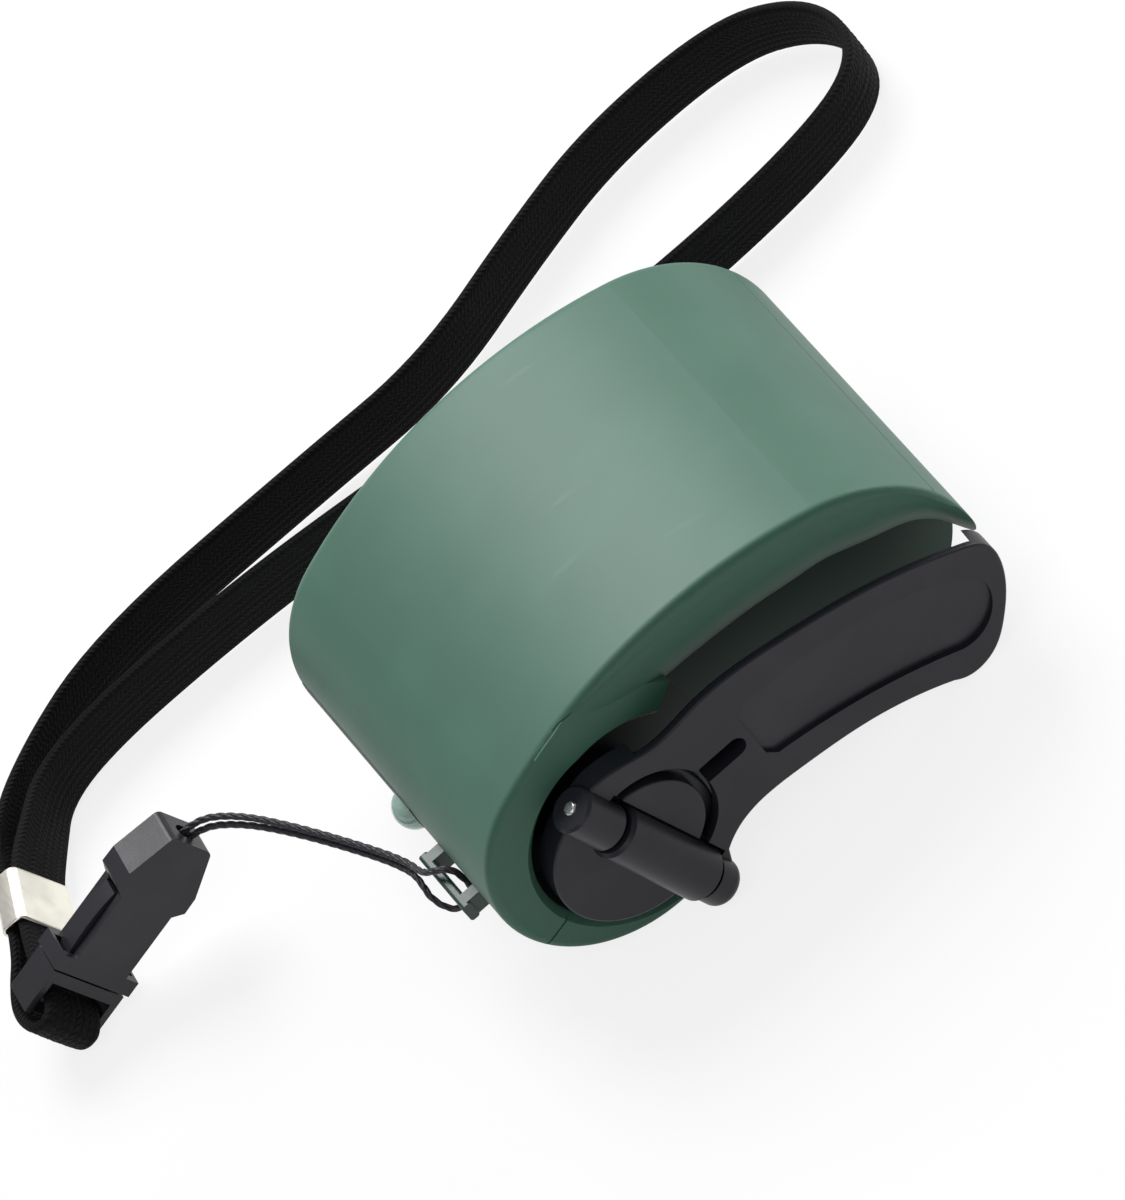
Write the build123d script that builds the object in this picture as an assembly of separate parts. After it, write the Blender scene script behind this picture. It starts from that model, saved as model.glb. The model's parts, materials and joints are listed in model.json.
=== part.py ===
from build123d import *
from math import acos, cos, pi, radians, sin, tan
import os

# Frame: X runs along the charger with the hub end at -X, the crank side faces -Y, +Z is up and
# the floor is z = 0. Most pieces are drawn about the crank axis, with Y measured back from the
# rim of the crank side, and are moved to their place when they are written.

# Place of the crank axis and of the rim on the floor
CRANK_X = -14.985
RIM_Y = -19.475
CRANK_Z = 12.75

# Housing
DEPTH = 45.0
WALL = 1.6
HUB_END_R = 15.0
HUB_TURN = 154.0
CROWN_R = 55.3
CROWN_TURN = 45.5
SHOULDER_R = 17.7
SHOULDER_TURN = 70.5
FOOT_X = -0.2
FRONT_ROUND = 0.9
BACK_ROUND = 1.4
SEAM_HUB_SLOPE = 16.8
SEAM_ARM_SLOPE = 9.4
SEAM_GROOVE = 0.25
SEAM_GROOVE_DEPTH = 0.4
RECESS = 8.0
COLLAR_TOE = 4.5
FLAG_START = 1.4
FLAG_LOW = 5.0
FLAG_TILT = 8.0
SCOOP_EDGE = [
    (FLAG_START, 18.95), (9.8, 19.45), (19.8, 19.2), (29.8, 17.8),
    (40.6, 13.9), (45.5, 9.0), (47.6, 3.4), (53, 3.2),
]
SCOOP_DROP = 11.0
POCKET_X = 1.8
POCKET_Z = 0.75
POCKET_R = 12.0
POCKET_BEVEL = 0.8
FRONT_WALL = RECESS + WALL
BACK_WALL = DEPTH - WALL

# Crank hub, arm and hinge
HUB_R = 9.45
HUB_FRONT = -1.45
HUB_BACK = 1.75
NECK_R = 4.2
NECK_BACK = 6.7
BOSS_X = 2.0
BOSS_Z = 1.67
BOSS_R = 6.37
ARM_FRONT = -3.2
ARM_BACK = -0.4
ARM_GAP = 0.35
OPENING_R = 7.48
HINGE_LEAN = 15.6
HINGE_X = 0.9
HINGE_Y = -3.0
HINGE_Z = -0.05
KNUCKLE_R = 3.05
LUG_R = 2.6
KNUCKLE_LOW = -8.4
KNUCKLE_TOP = 6.0
TOP_LUG = (6.5, 12.5)
LOW_LUG = (-12.0, -8.75)
PIN_R = 0.8
RUNNING_FIT = 0.05
SLOT_W = 2.4
SLOT_Z = 2.85
PAD_DEPTH = 0.28
PAD_TILT = 3.0

# Crank shaft
SHAFT_R = 3.0
SHAFT_END_R = 2.0
BUSH_R = 4.5
BUSH_FLANGE_R = 5.5
BUSH_FLANGE = 1.0

# Gear train: three stages, each drawn as a layer between two depths
PRESSURE_ANGLE = 20.0
ADDENDUM = 0.8
DEDENDUM = 1.05
BACKLASH = 0.08
DRIVE_TEETH = 40
WHEEL_TEETH = 48
PINION_TEETH = 14
DRIVE_MODULE = 0.5
FINE_MODULE = 0.4
PLATE_T = 1.2
REAR_PLATE = 20.4
LAYER_1 = (11.5, 14.0)
LAYER_2 = (14.4, 16.6)
LAYER_3 = (17.0, 19.2)
PINION_OVERHANG = 0.15
MESH_1 = 22.2
MESH_2 = -23.4
MESH_3 = 28.0
AXLE_R = 1.0
SLEEVE_R = 1.8
POST_R = 1.8
POSTS = [(2.0, 12.9), (26.0, 13.0), (38.0, -4.0), (12.5, -8.0)]

# Generator
CAN_R = 8.8
CAN_WALL = 0.6
CAN_BACK = 36.8
ROTOR_SHAFT_R = 0.75
ROTOR_R = 4.2
STACK = (25.0, 33.0)
COILS = 6

# Circuit board, socket, lamp
BOARD_TOP = -4.35
BOARD_T = 1.2
SOCKET_W = 13.1
SOCKET_H = 5.7
SOCKET_L = 14.0
SOCKET_MOUTH = -13.7
SOCKET_Y = 34.5
LAMP_R = 2.5
LAMP_Y = 22.0
LAMP_Z = 1.55
LAMP_TIP = -17.0
WINDOW = (19.2, 43.2)
BOARD_SCREWS = [(17.0, 29.5), (4.0, 28.8)]
SHELL_SCREWS = [(23.2, 26.0), (23.2, 41.0), (8.0, 25.2)]
SCREW_R = 1.0
SCREW_HEAD_R = 1.7
SCREW_SEAT = -10.4
SCREW_BITE = 6.0

# Wrist strap, buckle and string, drawn where they lie on the floor
STRAP_W = 7.5
STRAP_T = 1.1
STRING_R = 0.4
BUCKLE_TIP = (-49.5, 22.7, 13.35)
BUCKLE_T = 5.0
LANE = 0.838
CRIMP_L = 6.7


# Route of the strap on the floor, from the crimp round the loop and back
STRAP_ROUTE = [
    (-66.4, 40.4), (-65.3, 46.5), (-58.5, 53.5), (-43.5, 59.6), (-14.8, 59.2), (1.5, 58.6),
    (18, 64.6), (31, 68.2), (48, 67.8), (56, 62.5), (58.6, 55), (55.6, 48.6),
    (46, 45.9), (28, 45), (4, 47), (-21.5, 50.9), (-36, 51.9), (-49.5, 51.9),
    (-57.6, 50), (-61.6, 45), (-64.9, 39.9),
]
# Fold of the strap round the bar of the buckle: along the buckle and across its thickness
FOLD_ROUTE = [
    (18.7, 15.2), (21.4, 6.2), (22.1, 1.6), (22.2, -2.4), (23.8, -4.5), (26.0, -3.2),
    (26.7, 0.2), (25.7, 3.15), (22.95, 6.87), (20.3, 15.7),
]
# Route of the string: out of the buckle, round the bracket and back
STRING_ROUTE = [
    (-50.8, 22.9, 13.15), (-48.0, 22.5, 14.1), (-44.2, 18.6, 14.4), (-40.2, 11.9, 13.9), (-35.6, 2.6, 13.3),
    (-33.8, -2.2, 13.5), (-33.5, -4.8, 14.1), (-32.9, -7.2, 15.6), (-30.8, -8.8, 15.3), (-30.8, -9.6, 11.6),
    (-33.3, -9.0, 10.9), (-34.5, -7.0, 11.9), (-34.1, -4.6, 12.9), (-34.3, -2.2, 12.6), (-35.9, 2.4, 12.45),
    (-40.5, 11.7, 13.05), (-44.5, 18.2, 13.5), (-48.2, 22.0, 13.25), (-51.0, 22.65, 12.3),
]
BUCKLE = Plane(origin=BUCKLE_TIP, x_dir=(-0.93, 0.078, -0.364), z_dir=(0.107, 0.992, -0.06)).location
HINGE = Plane(
    origin=(HINGE_X, HINGE_Y, HINGE_Z),
    x_dir=(cos(radians(HINGE_LEAN)), 0, sin(radians(HINGE_LEAN))),
    z_dir=(-sin(radians(HINGE_LEAN)), 0, cos(radians(HINGE_LEAN))),
).location


def prism(face, front, back):
    """Solid of a face drawn in X and Z, between two depths."""
    return extrude(Plane.XZ.offset(-back) * face, back - front, dir=(0, -1, 0))


def rod(x, z, radius, front, back):
    """Round rod parallel to the crank axis."""
    return prism(Pos(x, z) * Circle(radius), front, back)


def ring(x, z, outer, inner, front, back):
    """Round tube parallel to the crank axis."""
    return rod(x, z, outer, front, back) - rod(x, z, inner, front - 1, back + 1)


def pillar(x, y, radius, low, high):
    """Upright round rod between two heights."""
    return Pos(x, y, low) * Cylinder(radius, high - low, align=(Align.CENTER, Align.CENTER, Align.MIN))


def block(x, y, z):
    """Box given by its (low, high) limits along X, Y and Z."""
    size = (x[1] - x[0], y[1] - y[0], z[1] - z[0])
    return Pos(x[0], y[0], z[0]) * Box(*size, align=(Align.MIN, Align.MIN, Align.MIN))


def outline(inset=0.0):
    """Side outline of the housing as one face, drawn this far inside its surface."""
    hub_end = JernArc((FOOT_X, inset - CRANK_Z), (-1, 0), HUB_END_R - inset, -HUB_TURN)
    crown = JernArc(hub_end @ 1, hub_end % 1, CROWN_R - inset, -CROWN_TURN)
    shoulder = JernArc(crown @ 1, crown % 1, SHOULDER_R - inset, -SHOULDER_TURN)
    toe_radius = (shoulder @ 1).Y + CRANK_Z - inset
    toe = JernArc(shoulder @ 1, shoulder % 1, toe_radius, -90)
    base = Line(toe @ 1, hub_end @ 0)
    return make_face(Curve() + [hub_end, crown, shoulder, toe, base])


def scoop():
    """Room under the brow for the folded arm: the brow rolls in down to the recess wall."""
    edge = Spline(*SCOOP_EDGE)
    sections = []
    for i in range(13):
        point = edge @ (i / 12)
        drop = SCOOP_DROP - 2.3 * max(0.0, (point.X - 40) / 13)
        plane = Plane(origin=(point.X, 0, point.Y), x_dir=(0, 1, 0), z_dir=(1, 0, 0))
        lip = Line((-1, 0), (0.4, 0))
        roll = EllipticalCenterArc((RECESS, 0), RECESS - 0.4, drop, start_angle=180, arc_size=90)
        floor = -CRANK_Z - 4 - point.Y
        wall = Polyline((RECESS, -drop), (RECESS, floor), (-1, floor), (-1, 0))
        sections.append(plane * make_face(Curve() + [lip, roll, wall]))
    room = loft(sections)
    return room - block((-9, COLLAR_TOE), (-3, 12), (-30, 0))


def flag():
    """End of the collar: a tongue that stands out of the recess and leans back."""
    outer = Spline((FLAG_START, 18.95), (5.8, 18.2), (9.8, 15.6), (13.6, 11.6))
    rest = Polyline((13.6, 11.6), (10.8, 9.7), (5, FLAG_LOW), (-2, 8), (-2, 18), (FLAG_START, 18.95))
    tongue = prism(make_face(Curve() + [outer, rest]), 0, FRONT_WALL)
    reach = 25
    depth = reach * tan(radians(FLAG_TILT))
    end = FLAG_START + reach
    wedge = Polyline((FLAG_START, 0), (end, depth), (end, -2), (FLAG_START, -2), (FLAG_START, 0))
    return tongue - extrude(make_face(wedge), 30, both=True)


def pocket():
    """Round pocket of the crank hub with a bevel that follows the leaning flag."""
    room = rod(POCKET_X, POCKET_Z, POCKET_R, -1, RECESS)
    wide = POCKET_R + POCKET_BEVEL
    cone = Cone(POCKET_R, wide, POCKET_BEVEL, align=(Align.CENTER, Align.CENTER, Align.MIN))
    bevel = Pos(POCKET_X, POCKET_BEVEL, POCKET_Z) * Rot(90, 0, 0) * cone
    lean = Pos(FLAG_START, 0, 0) * Rot(0, 0, FLAG_TILT) * Pos(-FLAG_START, 0, 0)
    flag_side = block((FLAG_START, 30), (-2, 8), (FLAG_LOW, 30))
    return room + (bevel - flag_side) + (lean * bevel & flag_side)


def seam_region(upper):
    """Half space above or below the two-part seam through the crank axis."""
    left = (-40, -40 * tan(radians(SEAM_HUB_SLOPE)))
    right = (70, 70 * tan(radians(SEAM_ARM_SLOPE)))
    level = 60 if upper else -60
    corner = Polyline(left, (0, 0), right, (70, level), (-40, level), left)
    return prism(make_face(corner), -5, DEPTH + 5)


def seam_groove():
    """Thin groove that shows the seam along the ends and the back."""
    half = SEAM_GROOVE / 2
    left = -40 * tan(radians(SEAM_HUB_SLOPE))
    right = 70 * tan(radians(SEAM_ARM_SLOPE))
    strip = Polyline(
        (-40, left - half), (0, -half), (70, right - half),
        (70, right + half), (0, half), (-40, left + half), (-40, left - half),
    )
    face = make_face(strip)
    rim = prism(face & (outline() - outline(SEAM_GROOVE_DEPTH)), FRONT_ROUND, DEPTH)
    back = prism(face & outline(), DEPTH - SEAM_GROOVE_DEPTH, DEPTH)
    front = prism(face & Pos(-12.6, -3.5) * Rectangle(5, 5), 0, SEAM_GROOVE_DEPTH)
    return rim + back + front


def screw_posts(upper):
    """Posts round the three case screws, and below the bosses of the board."""
    posts = []
    for x, y in SHELL_SCREWS:
        seam = x * tan(radians(SEAM_ARM_SLOPE))
        low, high = (seam, 22) if upper else (-CRANK_Z, seam)
        posts.append(pillar(x, y, 2.2, low, high))
    if not upper:
        for x, y in BOARD_SCREWS:
            posts.append(pillar(x, y, 2.2, -CRANK_Z, BOARD_TOP - BOARD_T))
    return posts


def housing():
    """Both halves of the housing."""
    body = prism(outline(), 0, DEPTH)
    front_edges = body.faces().sort_by(Axis.Y)[0].outer_wire().edges()
    body = fillet(front_edges, FRONT_ROUND)
    back_edges = body.faces().sort_by(Axis.Y)[-1].outer_wire().edges()
    body = fillet(back_edges, BACK_ROUND)
    body = body - scoop()
    body = body + (flag() & prism(outline(0.3), 0, FRONT_WALL))
    body = body - pocket()
    inside = prism(outline(WALL), FRONT_WALL, BACK_WALL)
    body = body - inside
    body = body - rod(0, 0, BUSH_R, RECESS - 1, FRONT_WALL + 1)
    body = body - block((-20, -8), WINDOW, (-7.0, 4.6))
    body = body - block((-20, -12.6), (6.5, 15.5), (-1.1, 2.4))
    body = body - seam_groove()
    halves = []
    for upper in (True, False):
        half = body & seam_region(upper)
        ribs = block((8, 24), (REAR_PLATE + PLATE_T, REAR_PLATE + 2 * PLATE_T), (11.5, 22))
        if not upper:
            ribs = block((14.3, 22), (REAR_PLATE + PLATE_T, REAR_PLATE + 2 * PLATE_T), (-13, -7.4))
        fittings = Part() + screw_posts(upper) + ribs
        half = half + (fittings & prism(outline(WALL / 2), FRONT_WALL, BACK_WALL + 0.5))
        for x, y in SHELL_SCREWS:
            seam = x * tan(radians(SEAM_ARM_SLOPE))
            if upper:
                half = half - pillar(x, y, SCREW_R, seam - 2, seam + SCREW_BITE)
            else:
                half = half - pillar(x, y, SCREW_R + 0.1, -14, 12)
                half = half - pillar(x, y, SCREW_HEAD_R + 0.1, -14, SCREW_SEAT)
        if not upper:
            for x, y in BOARD_SCREWS:
                half = half - pillar(x, y, 0.8, -10.2, BOARD_TOP)
        halves.append(half)
    return halves


def hinge(radius, low, high):
    """Round rod on the hinge axis, between two places along it."""
    solid = Cylinder(radius, high - low, align=(Align.CENTER, Align.CENTER, Align.MIN))
    return HINGE * Pos(0, 0, low) * solid


def beside_hinge(side, low, high):
    """Block on the arm's side of the hinge axis, starting this far from it."""
    size = (30, 30, high - low)
    return HINGE * Pos(side, 0, low) * Box(*size, align=(Align.MIN, Align.CENTER, Align.MIN))


def crank_hub():
    """Disc, neck, D-shaped boss and the middle knuckle of the arm's hinge."""
    disc = rod(0, 0, HUB_R, HUB_FRONT, HUB_BACK)
    disc = fillet(disc.edges().group_by(Axis.Y)[0], 0.3)
    neck = rod(0, 0, NECK_R, HUB_BACK, NECK_BACK)
    boss = rod(BOSS_X, BOSS_Z, BOSS_R, ARM_FRONT, 0)
    boss = fillet(boss.edges().group_by(Axis.Y)[0], 0.2) & beside_hinge(KNUCKLE_R + 0.2, -20, 20)
    knuckle = hinge(KNUCKLE_R, KNUCKLE_LOW, KNUCKLE_TOP)
    ends = knuckle.edges().filter_by(GeomType.CIRCLE)
    knuckle = chamfer(ends, 0.4)
    reliefs = hinge(LUG_R + 0.3, KNUCKLE_TOP + 0.25, 15) + hinge(LUG_R + 0.3, -15, KNUCKLE_LOW - 0.05)
    hub = (disc - reliefs) + neck + boss + knuckle
    hub = hub - hinge(PIN_R + RUNNING_FIT, -20, 20)
    return hub - rod(0, 0, SHAFT_R, 0.3, NECK_BACK + 1)


def arm_outline():
    """Outline of the folded arm in X and Z, from the hinge round the tip and back."""
    top = Spline((0.3, 12.2), (3.9, 11.9), (7.6, 10.9), (14, 11.4), (25, 10.2), (36, 7.1), (45.4, 2.6))
    tip = Spline(
        (45.4, 2.6), (47.2, 0.3), (47.0, -2.9), (43.7, -8.95),
        (40.6, -11.75), (38.2, -12.3), (35.6, -11.2),
    )
    low = Spline((35.6, -11.2), (26.8, -7.5), (18, -5.9), (11, -5.8), (6.9, -7.9))
    root = Polyline((6.9, -7.9), (6.2, -9.9), (4.7, -11.6), (3.5, -11.5), (-2.3, 11.4), (0.3, 12.2))
    return make_face(Curve() + [top, tip, low, root])


def finger_pad():
    """Shallow dish in the front of the arm: crisp along its lower edge, fading out above."""
    low = Spline((17.2, -1.8), (24.8, -3.3), (31, -5.2), (38.4, -8.4))
    end = Spline((38.4, -8.4), (42.0, -7.9), (44.3, -4.6), (44.0, -1.5))
    high = Spline((44.0, -1.5), (36.5, 3.4), (28, 5.9), (18.0, 6.9))
    side = Polyline((18.0, 6.9), (16.3, 6.0), (16.2, -0.6), (17.2, -1.8))
    dish = prism(make_face(Curve() + [low, end, high, side]), ARM_FRONT - 1, ARM_FRONT + 1)
    floor = Pos(30, ARM_FRONT, 0) * Rot(0, 15, 0) * Rot(PAD_TILT, 0, 0) * Pos(0, PAD_DEPTH, 0)
    return dish & (floor * Box(60, 10, 60, align=(Align.CENTER, Align.MAX, Align.CENTER)))


def crank_arm():
    """Curved arm plate with the opening round the boss and the two outer knuckles."""
    plate = prism(arm_outline(), ARM_FRONT, ARM_BACK)
    front = plate.faces().sort_by(Axis.Y)[0].outer_wire().edges()
    plate = fillet(front, 0.25)
    bevel = prism(arm_outline(), ARM_FRONT + 0.8, ARM_BACK)
    bevel = bevel - loft([
        Plane.XZ.offset(-(ARM_FRONT + 0.8)) * arm_outline(),
        Plane.XZ.offset(-ARM_BACK) * (Pos(-0.35, -1.9) * arm_outline()),
    ])
    plate = plate - (bevel & block((6, 46), (-9, 3), (0, 15)))
    plate = plate - rod(BOSS_X + 0.4, BOSS_Z, OPENING_R, -9, 3)
    slot = Pos(11.5, SLOT_Z) * SlotOverall(7.8, SLOT_W)
    plate = plate - prism(slot, -9, 3)
    plate = plate - rod(0, 0, HUB_R + ARM_GAP, HUB_FRONT - ARM_GAP, 3)
    room = beside_hinge(-10, KNUCKLE_LOW - 0.35, 8.9) - beside_hinge(KNUCKLE_R + 0.3, -20, 20)
    plate = plate - room - finger_pad()
    top_lug = hinge(LUG_R, *TOP_LUG)
    top_lug = chamfer(top_lug.edges().filter_by(GeomType.CIRCLE), 0.3)
    low_lug = hinge(LUG_R, *LOW_LUG)
    low_lug = fillet(low_lug.edges().filter_by(GeomType.CIRCLE).sort_by(Axis.Z)[0], 1.2)
    arm = plate + top_lug + low_lug
    arm = arm - hinge(KNUCKLE_R + 0.3, KNUCKLE_LOW - 0.35, KNUCKLE_TOP + 0.3)
    return arm - hinge(PIN_R, -11.2, 20)


def hinge_pin():
    """Steel pin through the three knuckles, with a domed end at the top."""
    pin = hinge(PIN_R, -11.2, TOP_LUG[1] + 0.3)
    return fillet(pin.edges().filter_by(GeomType.CIRCLE).sort_by(Axis.Z)[-1], 0.3)


def gear(x, z, teeth, module, layer, bore, tooth_at):
    """Involute spur gear about an axis at x, z; one tooth points along the tooth_at angle."""
    pitch_r = teeth * module / 2
    base_r = pitch_r * cos(radians(PRESSURE_ANGLE))
    tip_r = pitch_r + ADDENDUM * module
    root_r = pitch_r - DEDENDUM * module
    half_pitch = (pi * module / 2 - BACKLASH) / (2 * pitch_r)
    start_r = max(base_r, root_r)
    flank = [(root_r, start_r)] if root_r < base_r else []
    flank += [(start_r + (tip_r - start_r) * i / 4,) * 2 for i in range(5)]
    involute = tan(radians(PRESSURE_ANGLE)) - radians(PRESSURE_ANGLE)
    points = []
    for tooth in range(teeth):
        middle = radians(tooth_at) + 2 * pi * tooth / teeth
        side = []
        for radius, shape_r in flank:
            turn = acos(min(1.0, base_r / shape_r))
            side.append((radius, half_pitch + involute - (tan(turn) - turn)))
        for radius, half in side:
            points.append((x + radius * cos(middle - half), z + radius * sin(middle - half)))
        for radius, half in reversed(side):
            points.append((x + radius * cos(middle + half), z + radius * sin(middle + half)))
    face = make_face(Polyline(*points, close=True))
    return prism(face, *layer) - rod(x, z, bore, layer[0] - 1, layer[1] + 1)


def mesh_point(start, distance, angle):
    """Centre of the next gear, at a distance and angle from the last one."""
    return (start[0] + distance * cos(radians(angle)), start[1] + distance * sin(radians(angle)))


def compound_gear(centre, pinion_module, pinion_layer, pinion_at, wheel_layer, wheel_at):
    """Pinion, wheel and sleeve in one piece that runs on a fixed axle."""
    bore = AXLE_R + RUNNING_FIT
    pinion_span = (pinion_layer[0] - PINION_OVERHANG, pinion_layer[1] + PINION_OVERHANG)
    pinion = gear(*centre, PINION_TEETH, pinion_module, pinion_span, bore, pinion_at)
    wheel = gear(*centre, WHEEL_TEETH, FINE_MODULE, wheel_layer, bore, wheel_at)
    sleeve = ring(*centre, SLEEVE_R, bore, FRONT_WALL + PLATE_T + 0.2, REAR_PLATE - 0.2)
    return pinion + wheel + sleeve


def gear_plate(front, holes):
    """Plate that carries the axles; holes lists x, z and radius."""
    corners = [(-6.2, -5), (-6.2, 5), (-1, 15), (4, 15.6), (28.5, 15.6), (40, 8.5), (41, -5), (38, -7.4)]
    corners += [(12.5, -10.8), (8, -10.8)]
    face = fillet(Polygon(*corners, align=None).vertices(), 1.5) & outline(WALL + 0.3)
    plate = prism(face, front, front + PLATE_T)
    for x, z, radius in holes:
        plate = plate - rod(x, z, radius, front - 1, front + PLATE_T + 1)
    return plate


def generator_can(centre):
    """Deep-drawn steel can, closed towards the gears, with a bearing boss in the rear plate."""
    front = REAR_PLATE + PLATE_T
    can = ring(*centre, CAN_R, CAN_R - CAN_WALL, front, CAN_BACK)
    can = can + rod(*centre, CAN_R, front, front + 0.8) + rod(*centre, 3.0, REAR_PLATE, front)
    return can - rod(*centre, ROTOR_SHAFT_R + RUNNING_FIT, 0, 60)


def generator_cap(centre):
    """End cap with the rear bearing and two solder tags."""
    cap = rod(*centre, CAN_R - CAN_WALL, CAN_BACK - 1.2, CAN_BACK)
    cap = cap + rod(*centre, 2.0, CAN_BACK, CAN_BACK + 1.4)
    for z in (7.5, 4.5):
        cap = cap + block((28.4, 29.0), (CAN_BACK - 0.4, CAN_BACK + 1.4), (z - 0.8, z + 0.8))
    return cap - rod(*centre, ROTOR_SHAFT_R + RUNNING_FIT, 0, 60)


def stator_parts(centre):
    """Iron ring with six poles, and the coil round each pole."""
    iron = ring(*centre, CAN_R - CAN_WALL, 7.2, *STACK)
    coils = []
    for i in range(COILS):
        turn = Pos(centre[0], 0, centre[1]) * Rot(0, 60 * i + 30, 0)
        pole = turn * block((4.9, 7.6), STACK, (-0.9, 0.9))
        shoe = turn * block((4.9, 5.5), STACK, (-1.9, 1.9))
        iron = iron + pole + shoe
        outer = block((5.6, 6.85), (STACK[0] - 1, STACK[1] + 1), (-1.9, 1.9))
        core = block((5.0, 7.5), STACK, (-0.9, 0.9))
        coils.append(turn * (outer - core))
    return iron, Compound(coils)


def circuit_board():
    """Board with a tab for the lamp, a notch for a case screw and its screw holes."""
    low = BOARD_TOP - BOARD_T
    board = block((-10.4, 20), (26.5, 41.5), (low, BOARD_TOP))
    board = board + block((-10, -6.9), (19.6, 27), (low, BOARD_TOP))
    board = board - pillar(*SHELL_SCREWS[2], 2.5, low - 1, BOARD_TOP + 1)
    for x, y in BOARD_SCREWS:
        board = board - pillar(x, y, 0.9, low - 1, BOARD_TOP + 1)
    for side in (-1.27, 1.27):
        across = (LAMP_Y + side - 0.25, LAMP_Y + side + 0.25)
        board = board - block((-8.15, -7.65), across, (low - 1, BOARD_TOP + 1))
    return board


def case_screws():
    """Three screws from below that pull the halves together."""
    made = []
    for x, y in SHELL_SCREWS:
        seam = x * tan(radians(SEAM_ARM_SLOPE))
        shank = pillar(x, y, SCREW_R, SCREW_SEAT, seam + SCREW_BITE - 0.3)
        head = pillar(x, y, SCREW_HEAD_R, SCREW_SEAT - 1.2, SCREW_SEAT)
        cross = block((x - 1.1, x + 1.1), (y - 0.25, y + 0.25), (SCREW_SEAT - 1.3, SCREW_SEAT - 0.7))
        cross = cross + block((x - 0.25, x + 0.25), (y - 1.1, y + 1.1), (SCREW_SEAT - 1.3, SCREW_SEAT - 0.7))
        made.append(shank + head - cross)
    return Compound(made)


def board_screws():
    """Two screws that hold the board on its bosses."""
    made = []
    for x, y in BOARD_SCREWS:
        made.append(pillar(x, y, 0.8, -9.8, BOARD_TOP) + pillar(x, y, 1.5, BOARD_TOP, BOARD_TOP + 0.9))
    return Compound(made)


def usb_socket():
    """Metal shell, plastic tongue and the four contacts under it."""
    low = BOARD_TOP
    high = BOARD_TOP + SOCKET_H
    half = SOCKET_W / 2
    mouth = SOCKET_MOUTH
    span = (SOCKET_Y - half, SOCKET_Y + half)
    shell = block((mouth, mouth + SOCKET_L), span, (low, high))
    inner = (span[0] + 0.3, span[1] - 0.3)
    shell = shell - block((mouth - 1, mouth + SOCKET_L - 0.3), inner, (low + 0.3, high - 0.3))
    end = mouth + SOCKET_L - 0.3
    tongue = block((mouth + 1.5, end), (SOCKET_Y - 5.4, SOCKET_Y + 5.4), (high - 2.1, high - 0.3))
    contacts = []
    for offset in (-3.5, -1.0, 1.0, 3.5):
        y = SOCKET_Y + offset
        contacts.append(block((mouth + 2.2, end), (y - 0.5, y + 0.5), (high - 2.3, high - 2.1)))
    return shell, tongue, Compound(contacts)


def port_panel():
    """Curved skin in the window of the hub end, with the socket's and the lamp's openings."""
    centre = (FOOT_X, HUB_END_R - CRANK_Z)
    skin = ring(*centre, HUB_END_R + 0.1, HUB_END_R - 1.1, *WINDOW)
    skin = skin & block((-20, -8), WINDOW, (-7.0, 4.6))
    half = SOCKET_W / 2 + 0.1
    low = BOARD_TOP - 0.1
    skin = skin - block((-20, -5), (SOCKET_Y - half, SOCKET_Y + half), (low, low + SOCKET_H + 0.2))
    return skin - Pos(-16, LAMP_Y, LAMP_Z) * Rot(0, 90, 0) * Cylinder(LAMP_R + 0.05, 12)


def lamp():
    """Domed lamp with its flange, and its two bent legs."""
    start = Pos(-9.4, LAMP_Y, LAMP_Z) * Rot(0, -90, 0)
    length = -LAMP_TIP - 9.4 - LAMP_R
    body = start * Cylinder(LAMP_R, length, align=(Align.CENTER, Align.CENTER, Align.MIN))
    dome = Pos(LAMP_TIP + LAMP_R, LAMP_Y, LAMP_Z) * Sphere(LAMP_R)
    flange = start * Pos(0, 0, -1) * Cylinder(LAMP_R + 0.4, 1, align=(Align.CENTER, Align.CENTER, Align.MIN))
    legs = []
    for side in (-1.27, 1.27):
        y = (LAMP_Y + side - 0.25, LAMP_Y + side + 0.25)
        across = block((-8.4, -7.65), y, (LAMP_Z - 0.25, LAMP_Z + 0.25))
        legs.append(across + block((-8.15, -7.65), y, (BOARD_TOP - BOARD_T - 0.5, LAMP_Z + 0.25)))
    return body + dome + flange, Compound(legs)


def generator_leads():
    """Two stiff wires from the solder tags down to the board."""
    routes = [
        [(28.4, 37.6, 7.5), (18.6, 37.6, 7.5), (18.6, 37.6, BOARD_TOP)],
        [(28.4, 37.6, 4.5), (16.6, 37.6, 4.5), (16.6, 37.6, BOARD_TOP)],
    ]
    wires = []
    for route in routes:
        path = FilletPolyline(*route, radius=2.5)
        wires.append(sweep(Plane(origin=path @ 0, z_dir=path % 0) * Circle(0.4), path))
    return Compound(wires)


def lanyard_bracket():
    """Base let into the hub end and a bar on two feet, with room for a string behind it."""
    base = block((-15.0, -12.6), (6.5, 15.5), (-1.1, 2.4))
    bar = block((-17.75, -16.6), (6.2, 15.8), (-0.55, 1.85))
    bar = fillet(bar.edges().filter_by(Axis.Y), 0.4)
    feet = block((-17.0, -14.9), (6.5, 7.9), (-0.55, 1.85))
    feet = feet + block((-17.0, -14.9), (14.1, 15.5), (-0.55, 1.85))
    return base + bar + feet


def ribbon(route, radii, width, low):
    """Flat strap on edge: follows the route and stands between two heights."""
    path = FilletPolyline(*route, radius=radii)
    run = Wire(path.edges())
    section = Plane(origin=path @ 0, x_dir=(0, 0, 1), z_dir=path % 0) * Rectangle(width, STRAP_T)
    return Pos(0, 0, low + width / 2) * sweep(section, run)


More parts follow.
